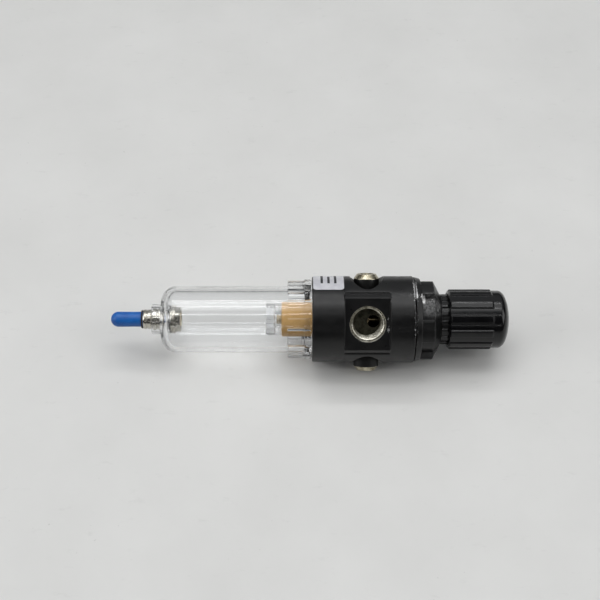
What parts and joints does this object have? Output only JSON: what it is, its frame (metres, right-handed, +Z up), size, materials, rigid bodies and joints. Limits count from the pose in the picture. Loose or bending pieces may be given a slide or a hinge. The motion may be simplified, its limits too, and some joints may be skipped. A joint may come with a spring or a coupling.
{
  "type": "air pressure regulator",
  "caption": "Miniature compressed-air filter-regulator with threaded ports, a clear bowl with a push drain, gauge plugs and a push-to-lock adjusting knob.",
  "frame": {"origin": "middle of the underside of the whole unit's box, on the surface that the unit lies on", "axes": "+X along the unit's axis from the drain to the knob, +Z up; the unit is rolled about X so that it lies on its body and on the rear gauge plug, with the outlet port facing -Y and up"},
  "size_m": [0.149, 0.0328, 0.0326],
  "materials": {
    "cast_black": "satin black paint on a die-cast body",
    "bonnet_black": "satin black with scratches at the edges",
    "knob_black": "semi-gloss moulded plastic",
    "rubber_black": "matte",
    "clear_plastic": "clear polycarbonate",
    "nickel": "nickel plate",
    "brass": "machined",
    "plug_metal": "plated brass, tarnished",
    "steel": "bright",
    "blue_vinyl": "soft satin vinyl",
    "sintered": "sintered bronze, fine grained",
    "label_film": "silver film",
    "acetal": "moulded"
  },
  "bodies": {
    "housing": {"body": "cast_black", "label": "label_film", "gauge_plug_front": "plug_metal", "gauge_plug_rear": "plug_metal", "bonnet": "bonnet_black", "diaphragm": "rubber_black", "slip_ring": "steel", "range_spring": "steel", "valve_seat": "brass", "valve_spring": "steel", "valve_guide": "acetal", "deflector": "acetal", "filter_element": "sintered", "filter_stud": "brass", "baffle": "clear_plastic"},
    "adjuster": {"adjusting_screw": "brass", "thrust_washer": "steel", "retaining_clip": "steel"},
    "handle": {"knob": "knob_black"},
    "nut": {"spring_nut": "brass"},
    "diaphragm_centre": {"diaphragm_plate": "steel", "relief_hub": "brass"},
    "valve": {"valve_stem": "brass", "poppet_seal": "rubber_black"},
    "seal": {"bowl_o_ring": "rubber_black"},
    "bowl_group": {"bowl": "clear_plastic", "drain_body": "nickel", "drain_nut": "nickel", "drain_gasket": "rubber_black", "drain_collar": "rubber_black", "drain_spring": "steel"},
    "drain_button": {"drain_cap": "blue_vinyl", "drain_stem": "brass", "drain_seal": "rubber_black"}
  },
  "joints": [
    {"name": "adjust_turn", "type": "hinge", "parent": "housing", "child": "adjuster", "pos_m": [0.06115, 0, 0.01629], "axis": [-1, 0, 0], "range_deg": [0, 1440]},
    {"name": "knob_push", "type": "slide", "parent": "adjuster", "child": "handle", "axis": [-1, 0, 0], "range_m": [0, 0.0022]},
    {"name": "spring_nut_travel", "type": "slide", "parent": "housing", "child": "nut", "axis": [-1, 0, 0], "range_m": [0, 0.00505], "deforming": ["range_spring"]},
    {"name": "diaphragm_stroke", "type": "slide", "parent": "housing", "child": "diaphragm_centre", "axis": [-1, 0, 0], "range_m": [0, 0.0008], "stiffness_N_per_m": 300, "deforming": ["diaphragm"]},
    {"name": "valve_stroke", "type": "slide", "parent": "housing", "child": "valve", "axis": [-1, 0, 0], "range_m": [0, 0.00085], "deforming": ["valve_spring"]},
    {"name": "bowl_travel", "type": "slide", "parent": "housing", "child": "seal", "axis": [-1, 0, 0], "range_m": [0, 0.00455]},
    {"name": "bowl_unscrew", "type": "hinge", "parent": "seal", "child": "bowl_group", "pos_m": [-0.01885, 0, 0.01629], "axis": [-1, 0, 0], "range_deg": [0, 1080]},
    {"name": "drain_push", "type": "slide", "parent": "bowl_group", "child": "drain_button", "axis": [1, 0, 0], "range_m": [0, 0.0012], "stiffness_N_per_m": 400, "deforming": ["drain_spring"]}
  ],
  "couplings": [
    {"joint": "spring_nut_travel", "follows": "adjust_turn", "m_per_rad": 0.00019894},
    {"joint": "valve_stroke", "follows": "diaphragm_stroke", "ratio": 1},
    {"joint": "bowl_travel", "follows": "bowl_unscrew", "m_per_rad": 0.00023873}
  ]
}
